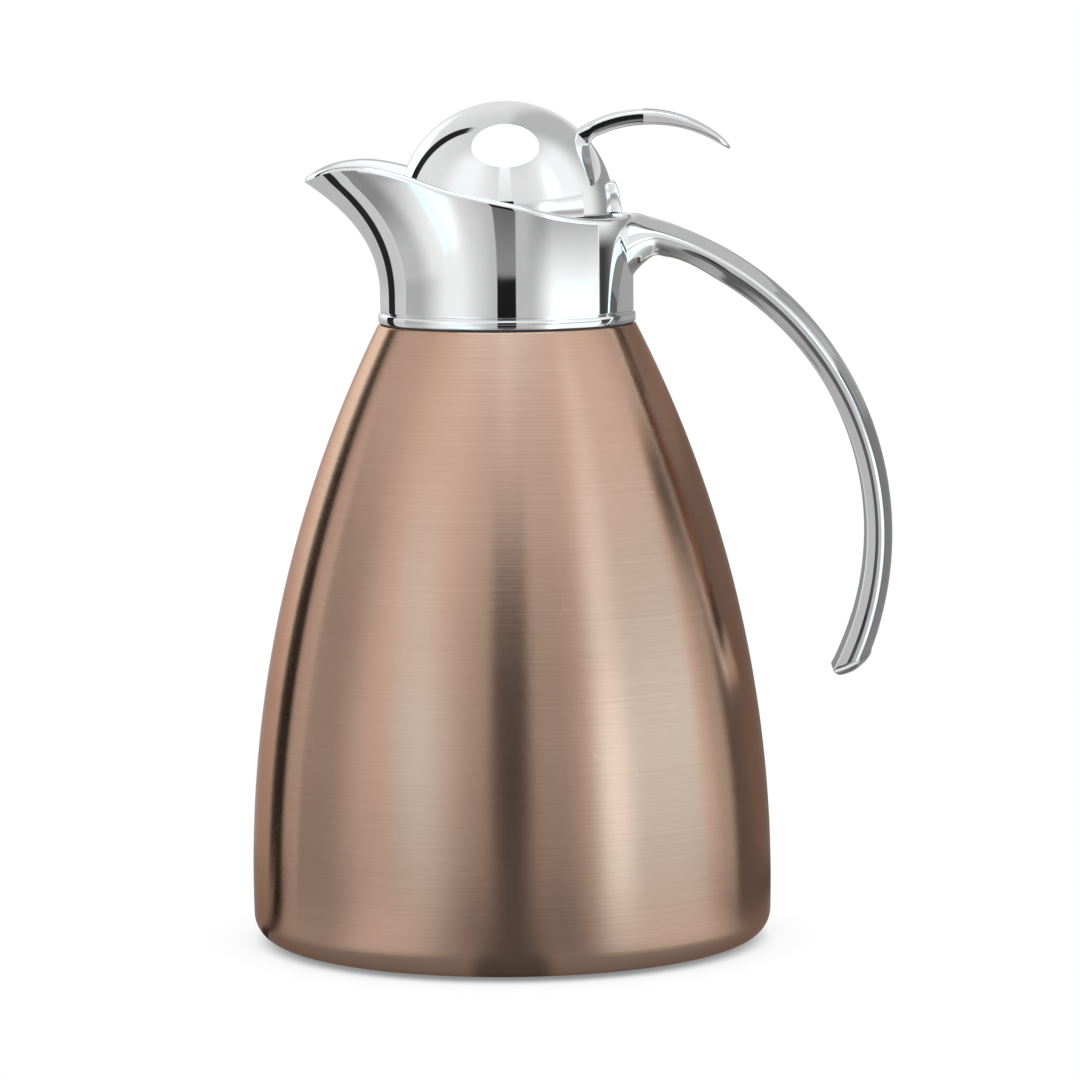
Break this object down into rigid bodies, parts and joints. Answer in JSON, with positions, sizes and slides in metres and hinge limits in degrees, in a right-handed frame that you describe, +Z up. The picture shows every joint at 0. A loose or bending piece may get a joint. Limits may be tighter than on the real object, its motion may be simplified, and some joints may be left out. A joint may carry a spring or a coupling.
{
  "type": "vacuum carafe",
  "caption": "Copper-coloured vacuum carafe with a chromed pouring collar, a sprung dome lid on a thumb lever, a lift-out stopper and an open curved handle.",
  "frame": {"origin": "on the body's axis, on the face that the carafe stands on", "axes": "+Z up, +X towards the handle, -X towards the spout"},
  "size_m": [0.1583, 0.128, 0.2064],
  "materials": {
    "copper_shell": "brushed, copper-coloured",
    "steel": "satin",
    "chrome": "polished",
    "black_plastic": "fine texture",
    "silicone": "matt",
    "pad": "matt",
    "foam": "cellular"
  },
  "bodies": {
    "carafe": {"outer_shell": "copper_shell", "base_plate": "steel", "base_pad": "pad", "evacuation_plug": "steel", "getter": "steel", "inner_flask": "steel", "foot_gasket": "silicone", "collar_insert": "black_plastic", "lip_gasket": "silicone", "pouring_collar": "chrome", "handle": "chrome"},
    "stopper": {"stopper_body": "black_plastic", "stopper_flange": "black_plastic", "port_tube": "black_plastic", "stopper_foam": "foam", "stopper_cap": "black_plastic", "lip_seals": "silicone", "hinge_bracket": "steel", "bracket_screws": "steel", "hinge_pin": "steel", "return_spring": "steel"},
    "lid": {"dome_shell": "chrome", "dome_liner": "black_plastic", "liner_screws": "steel", "port_plug": "silicone", "plug_screw": "steel", "thumb_lever": "chrome", "lever_screws": "steel"}
  },
  "joints": [
    {"name": "stopper_lift", "type": "slide", "parent": "carafe", "child": "stopper", "axis": [0, 0, 1], "range_m": [0, 0.1]},
    {"name": "lid_hinge", "type": "hinge", "parent": "stopper", "child": "lid", "pos_m": [0.0245, 0, 0.1825], "axis": [0, 1, 0], "range_deg": [0, 40], "stiffness_Nm_per_rad": 0.02, "springref_deg": -28.65, "deforming": ["return_spring"]}
  ]
}
